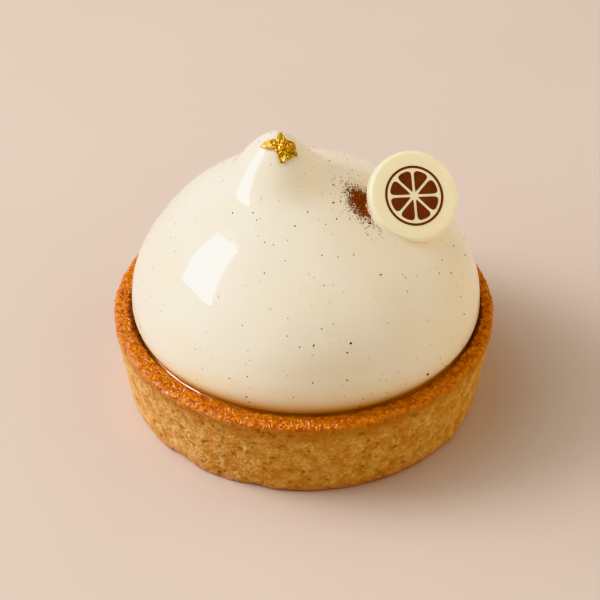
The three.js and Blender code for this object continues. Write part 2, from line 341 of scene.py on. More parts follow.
def shell_outline():
    foot = BASE_RADIUS - FOOT_ROUNDING
    wall_top = SHELL_HEIGHT - OUTER_ROUNDING
    inside = RIM_RADIUS - WALL
    lip = SHELL_HEIGHT - INNER_ROUNDING
    heights = np.linspace(FOOT_ROUNDING, wall_top, WALL_STEPS)[1:-1]
    tops = np.linspace(RIM_RADIUS - OUTER_ROUNDING, inside + INNER_ROUNDING, TOP_STEPS)[1:-1]
    depths = np.append(np.linspace(lip, FILLING_LEVEL, DEPTH_STEPS)[1:], FLOOR)
    return np.vstack([
        [[foot - step, 0] for step in BASE_RINGS_IN],
        arc((foot, FOOT_ROUNDING), FOOT_ROUNDING, -90, 0, FOOT_STEPS),
        np.column_stack([shell_radius(heights), heights]),
        arc((RIM_RADIUS - OUTER_ROUNDING, wall_top), OUTER_ROUNDING, 0, 90, OUTER_STEPS),
        np.column_stack([tops, 0 * tops + SHELL_HEIGHT]),
        arc((inside + INNER_ROUNDING, lip), INNER_ROUNDING, 90, 180, INNER_STEPS),
        np.column_stack([shell_radius(depths) - WALL, depths]),
    ])


shell = shell_outline()
print("shell outline of", len(shell), "points")

# %% Relief of the wall
LAYER_STEP = 2.0
BUMP_SIZE, BUMP_DEPTH = 5, 0.3
CRUMB_SIZE, CRUMB_DEPTH, CRUMB_BEND, CRUMB_EDGE = 0.8, 0.1, 0.5, 0.4
LUMP_SIZE, LUMP_DEPTH, LUMP_SHARE, LUMP_REACH = 2.4, 0.14, 0.35, 0.5
LUMP_STEEPNESS, LUMP_PALENESS = 2, 1.6
PIT_DEPTH, PIT_SHARE, SEAM_SHARE = 0.26, 0.08, 0.5


def cell_draw(cell):
    """A fixed draw from 0 to 1 for a cell of a Voronoi pattern."""
    return (noise.cell(cell) + 1) / 2


def bent(place, amount):
    """A place moved a little by noise, so that straight edges between cells become crooked."""
    return place + amount * Vector((noise.noise(place), noise.noise(place.yzx), noise.noise(place.zxy)))


def waves(place, size, falloff=1.0, layers=2):
    """Noise of a size in mm in layers, each finer than the one before."""
    return noise.fractal(place / size, falloff, LAYER_STEP, layers)


def dough_relief(place):
    """Lift in mm of the wall, how pale its crumb is, and how deep in a pit or seam a place is."""
    crooked = bent(place, CRUMB_BEND)
    near, cells = noise.voronoi(crooked / CRUMB_SIZE)
    body = min(1.0, (near[1] - near[0]) / CRUMB_EDGE)
    level = cell_draw(cells[0])
    far, lumps = noise.voronoi(crooked / LUMP_SIZE)
    lump = max(0.0, 1 - far[0] / LUMP_REACH) if cell_draw(lumps[0]) < LUMP_SHARE else 0.0
    pit = body if level < PIT_SHARE else 0.0
    lift = BUMP_DEPTH * waves(place, BUMP_SIZE) + CRUMB_DEPTH * (2 * level - 1) * body
    lift += LUMP_DEPTH * min(1.0, LUMP_STEEPNESS * lump) - PIT_DEPTH * pit
    pale = max(level * body, min(1.0, LUMP_PALENESS * lump))
    return lift, pale, max(pit, SEAM_SHARE * (1 - body))


# %% Relief and painted shade of the rim
LIP_HEIGHT, LIP_BULGE = 0.8, 0.1
LIP_RAGGED, LIP_RAGGED_SIZE, LIP_BLEND = 0.4, 2.2, (-0.25, 0.45)
CRACK_SIZE, CRACK_DEPTH, CRACK_BEND = 1.2, 0.1, 0.6
PAD_EDGE, PAD_LEVEL = 0.3, 0.7
FINE_SIZE, FINE_DEPTH = 0.8, 0.1
WAVE_SIZE, WAVE_DEPTH = 4, 0.2
RIM_SHADE_RADIUS, RIM_SHADE_SPREAD, RIM_SHADE_TURN = 36.0, 1.4, np.radians([45, 85])
RIM_SHADE_RAGGED, RIM_SHADE_RAGGED_SIZE, RIM_SHADE_BLEND = 0.35, 1.2, 0.2


def lip_share(level, z):
    """How much of the deep orange lip a place on the outside is, from 0 to 1."""
    foot = SHELL_HEIGHT - LIP_HEIGHT
    ragged = LIP_RAGGED * waves(level, LIP_RAGGED_SIZE)
    return float(smoothstep(z + ragged, foot + LIP_BLEND[0], foot + LIP_BLEND[1]))


def rim_relief(place):
    """Lift in mm of the crazed rim, and how deep in a crack a place is."""
    near = noise.voronoi(bent(place, CRACK_BEND) / CRACK_SIZE)[0]
    pad = min(1.0, (near[1] - near[0]) / PAD_EDGE)
    fine = FINE_DEPTH * waves(place, FINE_SIZE, falloff=0.7, layers=3)
    return CRACK_DEPTH * (pad - PAD_LEVEL) + fine + WAVE_DEPTH * noise.noise(place / WAVE_SIZE), 1 - pad


def painted_rim_shade(place, radius):
    """How much painted shade darkens the inner edge of the rim beside the dome, but not at the front."""
    spread = RIM_SHADE_SPREAD * float(smoothstep(abs(math.atan2(place.x, -place.y)), *RIM_SHADE_TURN))
    edge = RIM_SHADE_RADIUS + spread + RIM_SHADE_RAGGED * noise.noise(place / RIM_SHADE_RAGGED_SIZE)
    return 1 - float(smoothstep(radius, edge - RIM_SHADE_BLEND, edge + RIM_SHADE_BLEND))


# %% Bake the shell
CHIP_SIZE, CHIP_DEPTH, CHIP_HEIGHT = 5.5, 1.1, 2.6
NOTCH_SIZE, NOTCH_DEPTH, NOTCH_FROM = 1.3, 0.9, 0.25
FOOT_RAGGED, FOOT_RAGGED_SIZE, FOOT_BLEND = 1.6, 2, (0.8, 3.0)
INNER_CALM, HAIR = 0.5, 0.01
MARKS = ("crumb", "pit", "crack", "rim_shade", "rim", "foot")


def ring_shares(radius, z):
    """If a ring is inside the shell, how far in over the rim, how strong its relief is, how low it is."""
    inside = z > FLOOR / 2 and radius < shell_radius(z) - OUTER_ROUNDING - HAIR
    if not inside:
        return inside, 0.0, float(smoothstep(z, 0, FOOT_ROUNDING)), 1 - float(smoothstep(z, 0, CHIP_HEIGHT))
    inward = float(np.clip((RIM_RADIUS - OUTER_ROUNDING - radius) / TOP_WIDTH, 0, 1))
    above = float(smoothstep(z, FILLING_LEVEL, SHELL_HEIGHT - INNER_ROUNDING))
    return inside, inward, (1 - INNER_CALM * inward) * above, 0.0


def bake_shell(outline):
    rings = turned(outline, SHELL_AROUND)
    along = np.gradient(outline, axis=0)
    outward = np.column_stack([along[:, 1], -along[:, 0]])
    outward /= np.linalg.norm(outward, axis=1)[:, None]
    marks = np.zeros((len(MARKS), *rings.shape[:2]))
    for i, (radius, z) in enumerate(outline):
        if radius < BASE_RADIUS - FOOT_ROUNDING and z < FLOOR / 2:
            continue
        inside, inward, strength, low = ring_shares(radius, z)
        for j in range(SHELL_AROUND):
            place = Vector(rings[i, j])
            level = Vector((place.x, place.y, 0))
            rim = 1.0 if inside else lip_share(level, z)
            lift, crumb, pit = dough_relief(place)
            rim_lift, crack = rim_relief(place)
            lift = (lift * (1 - rim) + (rim_lift + LIP_BULGE * (1 - inward)) * rim) * strength
            chip = max(0.0, noise.noise(level / CHIP_SIZE)) * CHIP_DEPTH
            notch = max(0.0, noise.noise(level / NOTCH_SIZE) - NOTCH_FROM) * NOTCH_DEPTH
            spread = (radius + lift * outward[i, 0] - (chip + notch) * low) / radius
            rings[i, j] = (place.x * spread, place.y * spread, z + lift * outward[i, 1])
            rings[i, j, :2] += inward * HOLLOW_SHIFT
            ragged = z + FOOT_RAGGED * waves(place, FOOT_RAGGED_SIZE)
            foot = 1 - float(smoothstep(ragged, *FOOT_BLEND))
            # painted shade on the inner edge of the rim, beside the dome
            rim_shade = painted_rim_shade(place, radius) if inside else 0.0
            marks[:, i, j] = (crumb * (1 - rim), pit * (1 - rim), crack * rim, rim_shade, rim, foot)
    return rings, dict(zip(MARKS, marks))


shell_rings, shell_marks = bake_shell(shell)
print("shell of", len(shell_rings), "rings, with marks for", *shell_marks)


# %% Mesh of the shell
def add_marks(piece, marks):
    """Float attributes on a mesh of rings, with nothing at its two end points."""
    for name, values in marks.items():
        data = piece.data.attributes.new(name, "FLOAT", "POINT").data
        data.foreach_set("value", np.append(values.ravel(), [0, 0]).astype(np.float32))


crust = piece_from_rings("shortcrust_shell", shell_rings, (0, 0, 0), (0, 0, FLOOR))
add_marks(crust, shell_marks)

# %% [markdown]
# The colour of the shell follows the oven. The wall is golden between honey and tan, its raised grains are
# paler, pits are brown. The lip at the rim took the most heat and is deep orange, and the foot is browner
# than the wall. The upper wall darkens towards the lip, partly by browning and partly as painted shade
# under the lip, and painted shade darkens the inner edge of the rim beside the dome. Egg wash makes the rim
# shine, so roughness falls there, most of all in patches, and steep little ridges join the grain's bump by
# the same rim mask.

# %% Finish of the shortcrust
DOUGH_TONES = (239, 192, 114), (208, 138, 54)
FOOT_TONES = (228, 160, 106), (186, 120, 78)
LIP_TONES = (238, 143, 28), (198, 97, 6)
CRUMB_TONE, FINE_TONE, BROWNED_AND_SHADED_TONE = (247, 210, 138), (194, 112, 26), (178, 98, 24)
PIT_TONE, CRACK_TONE, RIM_SHADE_TONE = (160, 88, 14), (150, 62, 4), (92, 32, 0)
BROWNED_AND_SHADED_BAND, FOOT_SHARE = 5.5, 0.85
DRY_ROUGHNESS, WET_ROUGHNESS, THINNEST_WASH = 0.75, 0.06, 0.7
RIDGE_STEEPNESS, RIM_CALM = 2.4, 0.85


def attribute(tree, name):
    return add(tree, "ShaderNodeAttribute", attribute_name=name).outputs["Fac"]


def dough_colour(tree):
    place = add(tree, "ShaderNodeTexCoord").outputs["Object"]
    height = add(tree, "ShaderNodeSeparateXYZ", {0: place}).outputs["Z"]
    band = [(SHELL_HEIGHT - below) * MM for below in (BROWNED_AND_SHADED_BAND, LIP_HEIGHT)]
    # The upper wall darkens towards the lip: partly real browning, partly painted shade under the lip.
    browned_and_shaded = step_between(tree, height, *band)
    dough = two_tones(tree, DOUGH_TONES, size=2.6, softness=0.16)
    dough = toned(tree, dough, CRUMB_TONE, attribute(tree, "crumb"), share=0.6)
    dough = toned(tree, dough, FINE_TONE, patches(tree, size=0.6, softness=0.12), share=0.35)
    dough = toned(tree, dough, BROWNED_AND_SHADED_TONE, browned_and_shaded, share=0.65)
    dough = toned(tree, dough, PIT_TONE, attribute(tree, "pit"), share=0.7)
    foot = two_tones(tree, FOOT_TONES, size=1.8, softness=0.15)
    return blend(tree, maths(tree, "MULTIPLY", attribute(tree, "foot"), FOOT_SHARE), dough, foot)


def lip_colour(tree):
    lip = two_tones(tree, LIP_TONES, size=1.3, softness=0.14)
    lip = toned(tree, lip, CRACK_TONE, attribute(tree, "crack"), share=0.45)
    # Painted shade darkens the inner edge of the rim, where it meets the dome.
    return toned(tree, lip, RIM_SHADE_TONE, attribute(tree, "rim_shade"), share=0.9)


def ramp(tree, share, start, end):
    """A value that runs from start to end as a share goes from 0 to 1."""
    sockets = {"Value": share, "To Min": start, "To Max": end}
    return add(tree, "ShaderNodeMapRange", sockets).outputs["Result"]


def shortcrust_finish():
    material, tree, shader = new_material("golden_shortcrust")
    rim = attribute(tree, "rim")
    paint(tree, shader, blend(tree, rim, dough_colour(tree), lip_colour(tree)))
    wash = ramp(tree, patches(tree, size=1.2, softness=0.12), THINNEST_WASH, 1.0)
    shine = ramp(tree, maths(tree, "MULTIPLY", wash, rim), DRY_ROUGHNESS, WET_ROUGHNESS)
    tree.links.new(shine, shader.inputs["Roughness"])
    settle(shader, Specular_IOR_Level=0.32, Subsurface_Weight=0.2, Subsurface_Scale=1.5 * MM,
           Subsurface_Radius=(1.0, 0.5, 0.2))
    steep = maths(tree, "MULTIPLY", rim, RIDGE_STEEPNESS)
    ridges = maths(tree, "MULTIPLY", patches(tree, size=1.0, softness=0.18), steep)
    calm = maths(tree, "SUBTRACT", 1.0, maths(tree, "MULTIPLY", rim, RIM_CALM))
    crumbs = maths(tree, "MULTIPLY", grains(tree, size=0.42), calm)
    bump(tree, shader, maths(tree, "ADD", crumbs, ridges), depth=0.16, strength=0.8)
    return material


crust.data.materials.append(shortcrust_finish())
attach(crust, "root")
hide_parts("crust")

# %% [markdown]
# The dome is cream, glazed while cold, so it is as smooth as porcelain. Its outline is four cubic curves:
# a tucked foot, a full shoulder, a hollow and a rounded tip. The peak leans left and back, which is a
# smooth shift of each ring. Where the disc was pressed in, the glaze climbs a little against it. A
# subdivision surface could make such a form from a few rings, but the formula keeps it equal to the solid.

# %% Sizes of the dome
DOME_FOOT = np.array([29, FILLING_LEVEL])
DOME_BELLY = np.array([36.6, 22.3])
DOME_HOLLOW = np.array([15.6, 48.4])
DOME_NECK = np.array([8, 54.4])
PEAK_HEIGHT = 61.2
HOLLOW_RUN, NECK_RUN = -1.6, -0.77
FOOT_HANDLE, TIP_HANDLE = 4.2, 2.1
BELLY_HANDLES, HOLLOW_HANDLES, NECK_HANDLES = (2.8, 13), (10.9, 4.5), (4.5, 2.7)
DOME_SHIFT, PEAK_LEFT, PEAK_BACK = 0.45, 6, 3
LEAN_FROM, LEAN_TO, BEND_FROM = 32, 56.6, 37.6
DOME_AROUND = 360
DOME_ROWS = (26, 100, 42, 34)


def bezier(corners, count):
    """Points after the first one on a cubic curve."""
    t = np.linspace(0, 1, count + 1)[1:, None]
    a, b, c, d = np.asarray(corners, float)
    return (1 - t) ** 3 * a + 3 * (1 - t) ** 2 * t * b + 3 * (1 - t) * t**2 * c + t**3 * d


def knot(point, run, handles):
    """A point of a curve between its two handles, on a line that runs so far outward for each step up."""
    step = np.array([run, 1]) / math.hypot(run, 1)
    return [point - handles[0] * step, point, point + handles[1] * step]


def dome_outline():
    corners = [
        DOME_FOOT, DOME_FOOT + (FOOT_HANDLE, 0),
        *knot(DOME_BELLY, 0, BELLY_HANDLES),
        *knot(DOME_HOLLOW, HOLLOW_RUN, HOLLOW_HANDLES),
        *knot(DOME_NECK, NECK_RUN, NECK_HANDLES),
        np.array([TIP_HANDLE, PEAK_HEIGHT]), np.array([0, PEAK_HEIGHT]),
    ]
    stretches = [bezier(corners[3 * i:3 * i + 4], count) for i, count in enumerate(DOME_ROWS)]
    return np.vstack([[DOME_FOOT], *stretches])


def dome_middle(z):
    left = PEAK_LEFT * smoothstep(z, LEAN_FROM, LEAN_TO)
    back = PEAK_BACK * smoothstep(z, BEND_FROM, PEAK_HEIGHT)
    return DOME_SHIFT - left, back


outline = dome_outline()
print("dome outline of", len(outline), "points")

# %% Where a point of the plan lies on the dome
HALVINGS = 40
SLOPE_REACH = 0.3


def dome_height(x, y):
    low, high = np.full(np.shape(x), DOME_BELLY[1]), np.full(np.shape(x), float(PEAK_HEIGHT))
    for _ in range(HALVINGS):
        z = (low + high) / 2
        middle = dome_middle(z)
        under = np.hypot(x - middle[0], y - middle[1]) < np.interp(z, outline[:, 1], outline[:, 0])
        low, high = np.where(under, z, low), np.where(under, high, z)
    return low


def on_dome(x, y):
    """Points of the dome over points of the plan, and the dome's normals there."""
    x, y = np.asarray(x, float), np.asarray(y, float)
    reach = SLOPE_REACH
    slope_x = (dome_height(x + reach, y) - dome_height(x - reach, y)) / (2 * reach)
    slope_y = (dome_height(x, y + reach) - dome_height(x, y - reach)) / (2 * reach)
    normals = np.stack([-slope_x, -slope_y, np.ones_like(x)], axis=-1)
    normals /= np.linalg.norm(normals, axis=-1, keepdims=True)
    return np.stack([x, y, dome_height(x, y)], axis=-1), normals


# %% Place of the disc
DISC_RADIUS, DISC_THICKNESS, DISC_ROUNDING = 9.4, 3, 0.85
HALF_DISC = DISC_THICKNESS / 2
DISC_CENTRE = Vector((22, -0.9, 48))
DISC_TILT, DISC_TURN = math.radians(45), math.radians(21.5)
disc_turns = Matrix.Rotation(DISC_TURN, 3, "Z") @ Matrix.Rotation(DISC_TILT, 3, "X")


def from_disc(points):
    """Points in the disc's own frame, with its face up, taken to their place."""
    return np.asarray(points) @ np.array(disc_turns).T + np.array(DISC_CENTRE)


def gap_to_disc(points):
    """How far points lie outside the disc, below zero inside it."""
    local = (np.asarray(points) - np.array(DISC_CENTRE)) @ np.array(disc_turns)
    over = np.stack([
        np.hypot(local[..., 0], local[..., 1]) - DISC_RADIUS + DISC_ROUNDING,
        np.abs(local[..., 2]) - HALF_DISC + DISC_ROUNDING,
    ], axis=-1)
    outside = np.linalg.norm(np.maximum(over, 0), axis=-1)
    return outside + np.minimum(over.max(axis=-1), 0) - DISC_ROUNDING


print("disc face looks along", [round(c, 3) for c in disc_turns.col[2]])

# %% Pour the dome
CLIMB_HEIGHT, CLIMB_REACH = 0.3, 1.0
RIPPLES = ((16, 0.03), (2.4, 0.005))


def ring_normals(rings):
    """The way that a surface of rings faces at each of its points."""
    along = np.gradient(rings, axis=0)
    across = np.roll(rings, -1, axis=1) - np.roll(rings, 1, axis=1)
    normals = np.cross(across, along)
    return normals / np.linalg.norm(normals, axis=2, keepdims=True)


def ripple(rings, size):
    """Noise of a size in mm at each point of rings."""
    values = [noise.noise(Vector(point) / size) for point in rings.reshape(-1, 3)]
    return np.reshape(values, rings.shape[:2])


def pour_dome():
    rings = turned(outline[:-1], DOME_AROUND)
    middle_x, middle_y = dome_middle(outline[:-1, 1])
    rings[:, :, 0] += middle_x[:, None]
    rings[:, :, 1] += middle_y[:, None]
    near = np.clip(1 - gap_to_disc(rings) / CLIMB_REACH, 0, 1)
    lift = CLIMB_HEIGHT * near**2
    for size, depth in RIPPLES:
        lift += depth * ripple(rings, size)
    return rings + ring_normals(rings) * lift[:, :, None]


dome_rings = pour_dome()
dome_tip = (*dome_middle(PEAK_HEIGHT), PEAK_HEIGHT)
dome = piece_from_rings("cream_dome_glazed", dome_rings, (DOME_SHIFT, 0, FILLING_LEVEL), dome_tip)

# %% [markdown]
# The glaze is ivory with a hint of yellow, a little translucent, and mirror smooth. Ground vanilla shows as
# fine specks: the clear ones are meshes later, and fainter ones lie deeper in the glaze, so they are a soft
# mask in its colour. Cocoa dust stains the glaze beside the disc: an attribute says where the drift lies,
# and fine noise breaks it into powder. Two more paint light and shade on the foot. One is a painted
# reflection of the orange rim with painted shade, an amber band with a yellow veil over its upper part. The
# other is painted shade where the crevice below it is dark: at the sides and the back, but not at the
# front, where filling shows.

# %% Where the cocoa drift lies, and where light and shade are painted on the foot
DRIFT_MIDDLE = np.array([11.9, -3.2])
DRIFT_ALONG = np.array([0.4, -0.917])
DRIFT_ACROSS = np.array([-DRIFT_ALONG[1], DRIFT_ALONG[0]])
DRIFT_LENGTH, DRIFT_WIDTH = 3.6, 1.9
DRIFT_SHOWS = 0.3
RIM_REFLECTION_FROM, RIM_REFLECTION_TO, RIM_REFLECTION_BESIDE = 19.9, 27.5, 23
RIM_REFLECTION_TURN = np.radians([15, 65])
SHADED_FROM, SHADED_TO = 19.2, 21.0
SHADED_TURN = np.radians([45, 85])


def drift_share(points):
    """How thick the cocoa lies at points, from 0 to 1."""
    away = points[..., :2] - DRIFT_MIDDLE
    return np.exp(-((away @ DRIFT_ALONG / DRIFT_LENGTH) ** 2) - (away @ DRIFT_ACROSS / DRIFT_WIDTH) ** 2)


def front_turn(points):
    """Angle of points about the tartlet from the front, to the right."""
    return np.arctan2(points[..., 0], -points[..., 1])


def rim_reflection_share(points):
    """How much painted reflection of the rim, with painted shade, tints the dome's foot, from 0 to 1."""
    beside = smoothstep(np.abs(front_turn(points)), *RIM_REFLECTION_TURN)
    height = RIM_REFLECTION_TO + (RIM_REFLECTION_BESIDE - RIM_REFLECTION_TO) * beside
    return 1 - np.clip((points[..., 2] - RIM_REFLECTION_FROM) / (height - RIM_REFLECTION_FROM), 0, 1)


def shaded_share(points):
    """How much painted shade darkens the crevice, from 0 to 1."""
    beside = smoothstep(np.abs(front_turn(points)), *SHADED_TURN)
    return beside * (1 - smoothstep(points[..., 2], SHADED_FROM, SHADED_TO))


on_top = dome_rings[:, :, 2] > DOME_BELLY[1]
cocoa_share = drift_share(dome_rings) * on_top
add_marks(dome, {
    "cocoa": cocoa_share,
    "rim_reflection": rim_reflection_share(dome_rings),
    "shaded": shaded_share(dome_rings),
})
print("cocoa lies on", int((cocoa_share > DRIFT_SHOWS).sum()), "points of the dome")

# %% Finish of the glaze
GLAZE_TONES = (253, 240, 217), (249, 234, 205)
SPECK_TONE, DUST_TONE = (134, 96, 54), (150, 78, 26)
RIM_REFLECTION_TONE, REFLECTION_VEIL_TONE, SHADED_TONE = (205, 150, 74), (234, 192, 56), (110, 54, 8)
DUST_LEAST, DUST_BAND = 0.25, (0.12, 0.9)
RIM_REFLECTION_BAND, REFLECTION_VEIL_END = (0.3, 1.0), 0.85


def glaze_finish():
    material, tree, shader = new_material("ivory_mirror_glaze")
    cream = two_tones(tree, GLAZE_TONES, size=18, softness=0.25)
    deep = use(tree, specks, "Mask", Spacing=2.2 * MM, Radius=0.12, Share=0.8)
    cream = toned(tree, cream, SPECK_TONE, deep, share=0.35)
    powder = maths(tree, "ADD", patches(tree, size=0.42, softness=0.12), DUST_LEAST)
    dust = step_between(tree, maths(tree, "MULTIPLY", attribute(tree, "cocoa"), powder), *DUST_BAND)
    cream = toned(tree, cream, DUST_TONE, dust, share=0.75)
    # Painted reflection of the orange rim, with painted shade, on the foot: an amber band with a yellow
    # veil over its upper part.
    rim_reflection = attribute(tree, "rim_reflection")
    cream = blend(tree, step_between(tree, rim_reflection, *RIM_REFLECTION_BAND), cream, seen(*RIM_REFLECTION_TONE))
    veil = maths(tree, "MULTIPLY", rim_reflection, maths(tree, "SUBTRACT", REFLECTION_VEIL_END, rim_reflection))
    cream = toned(tree, cream, REFLECTION_VEIL_TONE, veil, share=0.9)
    # Painted shade in the crevice at the sides and the back.
    paint(tree, shader, toned(tree, cream, SHADED_TONE, attribute(tree, "shaded"), share=0.9))
    settle(shader, Roughness=0.045, IOR=1.45, Subsurface_Weight=0.3, Subsurface_Scale=2 * MM,
           Subsurface_Radius=(1.0, 0.8, 0.55))
    bump(tree, shader, patches(tree, size=2.0, softness=0.45), depth=0.016)
    return material


dome.data.materials.append(glaze_finish())
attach(dome, "root")
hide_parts("cream_dome")

# %% [markdown]
# The filling shows only as a wet amber ring between the dome and the rim. It clings to the foot of the
# dome, and that small hollow curve is what draws a bright line of light along the ring. A flat disc would
# do for the solid, but not for that line. So the piece is the whole filling, as the solid is, with a finer
# upper edge that reaches just into the wall.

# %% Pour the filling
CLING_FOOT, CLING_RISE, CLING_KNEE = 17.6, 0.55, (0.3, 0.05)
POOL_RISE = 1.2
POOL_LEFT, POOL_RIGHT = np.radians([-68, -52]), np.radians([50, 120])
FILLING_AROUND = 360
FILLING_STEPS = 16
FILLING_UNDER_DOME = 2
FILLING_TONES = (228, 144, 36), (196, 112, 20)


def pour_filling():
    angles = np.linspace(0, 2 * math.pi, FILLING_AROUND, endpoint=False)
    spokes = np.column_stack([np.sin(angles), -np.cos(angles), 0 * angles])
    turn = np.arctan2(np.sin(angles), np.cos(angles))
    low = CLING_FOOT + POOL_RISE * smoothstep(turn, *POOL_LEFT) * (1 - smoothstep(turn, *POOL_RIGHT))
    high = low + CLING_RISE
    hollow = (*HOLLOW_SHIFT, 0)
    rise = np.array([0, 0, 1])
    edge = hollow + spokes * (shell_radius(low) - WALL)[:, None] + rise * low[:, None]
    knee = edge - spokes * CLING_KNEE[0] + rise * CLING_KNEE[1]
    reach = np.interp(high, outline[:, 1], outline[:, 0])
    foot = (DOME_SHIFT, 0, 0) + spokes * reach[:, None] + rise * high[:, None]
    rings = [hollow + spokes * (shell_radius(FLOOR) - WALL) + rise * FLOOR]
    for t in np.linspace(0, 1, FILLING_STEPS):
        rings.append((1 - t) ** 2 * edge + 2 * (1 - t) * t * knee + t**2 * foot)
    rings.append(spokes * (DOME_FOOT[0] - FILLING_UNDER_DOME) + rise * FILLING_LEVEL)
    return np.stack(rings)


def filling_finish():
    return plain_finish("amber_lemon_filling", FILLING_TONES, size=6, softness=0.2,
                        Roughness=0.12, Coat_Weight=1.0, Coat_Roughness=0.03)[0]


filling = piece_from_rings("lemon_filling_ring", pour_filling(), (0, 0, FLOOR), (0, 0, FILLING_LEVEL),
                           filling_finish())
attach(filling, "root")
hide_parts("filling")

# %% [markdown]
# The disc is white chocolate, cast in a round mould and stood in the cream like a fin. A cylinder with a
# bevel would be too exact, so it is turned from a short outline with rounded edges, and its face swells by
# a few hundredths of a millimetre. Its satin finish is a middling roughness over a fine grain, with light
# scattered below it. A faint emission on top is painted glow that brightens the disc.

# %% Cast the disc
DISC_AROUND = 128
DISC_CORE, FACE_RINGS, EDGE_STEPS = 1.2, 8, 9
SWELL_SIZE, SWELL_SHARE, SWELL_RISE = 4, 0.005, 0.03
CHOCOLATE_TONES = (255, 243, 205), (255, 239, 198)
CHOCOLATE_PAINTED_GLOW = (255, 232, 186)


def cast_disc():
    corner = DISC_RADIUS - DISC_ROUNDING
    faces = np.linspace(DISC_CORE, corner, FACE_RINGS, endpoint=False)
    profile = np.vstack([
        np.column_stack([faces, 0 * faces - HALF_DISC]),
        arc((corner, DISC_ROUNDING - HALF_DISC), DISC_ROUNDING, -90, 0, EDGE_STEPS),
        arc((corner, HALF_DISC - DISC_ROUNDING), DISC_ROUNDING, 0, 90, EDGE_STEPS),
        np.column_stack([faces[::-1], 0 * faces + HALF_DISC]),
    ])
    rings = turned(profile, DISC_AROUND)
    swell = ripple(rings, SWELL_SIZE)
    rings[:, :, :2] *= 1 + SWELL_SHARE * swell[:, :, None]
    rings[:, :, 2] += SWELL_RISE * swell
    return from_disc(rings)


def chocolate_finish():
    # Painted glow: a faint emission brightens the disc as if more light fell on it.
    material, tree, shader = plain_finish(
        "white_chocolate_satin", CHOCOLATE_TONES, size=5, softness=0.2,
        Roughness=0.3, IOR=1.45, Subsurface_Weight=0.4, Subsurface_Scale=1.5 * MM,
        Subsurface_Radius=(1.0, 0.85, 0.6), Coat_Weight=0.5, Coat_Roughness=0.12,
        Emission_Color=seen(*CHOCOLATE_PAINTED_GLOW), Emission_Strength=0.13)
    bump(tree, shader, grains(tree, size=0.9), depth=0.02, strength=0.5)
    return material


disc_ends = from_disc([(0, 0, -HALF_DISC), (0, 0, HALF_DISC)])
disc = piece_from_rings("white_chocolate_disc", cast_disc(), *disc_ends, chocolate_finish())
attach(disc, "root")
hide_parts("chocolate_disc")

# %% [markdown]
# A print in cocoa butter decorates the disc: a plain slice of lemon, with a peel ring round eight segments.
# Each segment is one outline, a square with soft corners bent into a wedge, drawn by a formula and repeated
# round the middle. A picture on the disc could show it too, but a thin raised mesh stays sharp from near,
# as a real print is a thin film of cocoa butter.

# %% Print the lemon slice
SLICE_RADIUS, PEEL_WIDTH, PITH_WIDTH = 6.2, 0.5, 0.55
SEGMENTS, SEGMENT_GAP, SEGMENT_CORE = 8, 0.55, 0.9
SLICE_TURN = math.radians(12)
FILM_RISE = 0.05
FILM_LOW, FILM_HIGH = HALF_DISC - FILM_RISE, HALF_DISC + FILM_RISE
OUTLINE_STEPS, PEEL_AROUND = 44, 96
CORNER_SQUARENESS = 4.5
PRINT_TONES = (124, 50, 8), (110, 42, 5)


def segment_outline(number):
    """A wedge with soft corners, in the plane of the disc's face."""
    turn = np.linspace(0, 2 * math.pi, OUTLINE_STEPS, endpoint=False)
    power = 2 / CORNER_SQUARENESS
    u = np.sign(np.cos(turn)) * np.abs(np.cos(turn)) ** power
    v = np.sign(np.sin(turn)) * np.abs(np.sin(turn)) ** power
    outer = SLICE_RADIUS - PEEL_WIDTH - PITH_WIDTH
    radius = SEGMENT_CORE + (outer - SEGMENT_CORE) * (u + 1) / 2
    spread = math.pi / SEGMENTS - np.arcsin(SEGMENT_GAP / 2 / radius)
    angle = SLICE_TURN + 2 * math.pi * number / SEGMENTS + v * spread
    return np.column_stack([radius * np.cos(angle), radius * np.sin(angle)])


def film(outlines):
    """Points and faces of flat films inside outlines on the disc's face, each a fan with an edge."""
    points, faces = [], []
    for edge in outlines:
        first, count = len(points), len(edge)
        points += [(*point, FILM_LOW) for point in edge] + [(*point, FILM_HIGH) for point in edge]
        points.append((*edge.mean(axis=0), FILM_HIGH))
        for i in range(count):
            k = (i + 1) % count
            faces.append((first + i, first + k, first + count + k, first + count + i))
            faces.append((first + count + i, first + count + k, first + 2 * count))
    return points, faces


def peel():
    """Points and faces of the ring round the segments."""
    inner = SLICE_RADIUS - PEEL_WIDTH
    outside = [[SLICE_RADIUS, FILM_LOW], [SLICE_RADIUS, FILM_HIGH]]
    profile = np.array([*outside, [inner, FILM_HIGH], [inner, FILM_LOW]])
    return turned(profile, PEEL_AROUND).reshape(-1, 3).tolist(), band_faces(len(profile), PEEL_AROUND)


def print_finish():
    return plain_finish("cocoa_butter_print", PRINT_TONES, size=1.5, softness=0.2, Roughness=0.4)[0]


segment_points, segment_faces = film([segment_outline(number) for number in range(SEGMENTS)])
peel_points, peel_faces = peel()
before = len(segment_points)
slice_faces = segment_faces + [tuple(before + index for index in face) for face in peel_faces]
slice_points = from_disc(segment_points + peel_points)
slice_print = make_piece("lemon_slice_print", slice_points, slice_faces, print_finish(), smooth=False)
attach(slice_print, "root")

# %% [markdown]
# Vanilla specks and cocoa are many small bits. Blender could scatter them as instances, but an export keeps
# real meshes, so each kind is one joined mesh: a small faceted ball, copied by arrays to every spot,
# turned, stretched and made uneven. A seeded random stream gives the same scatter at each run.

# %% Scatter small bits
STRETCH, UNEVENNESS = (0.6, 1.5), 0.3
SCATTER_SEED = 7
draw = np.random.default_rng(SCATTER_SEED)


def ball():
    mesh = bmesh.new()
    bmesh.ops.create_icosphere(mesh, subdivisions=1, radius=1)
    points = np.array([vertex.co for vertex in mesh.verts])
    faces = np.array([[vertex.index for vertex in face.verts] for face in mesh.faces])
    mesh.free()
    return points, faces


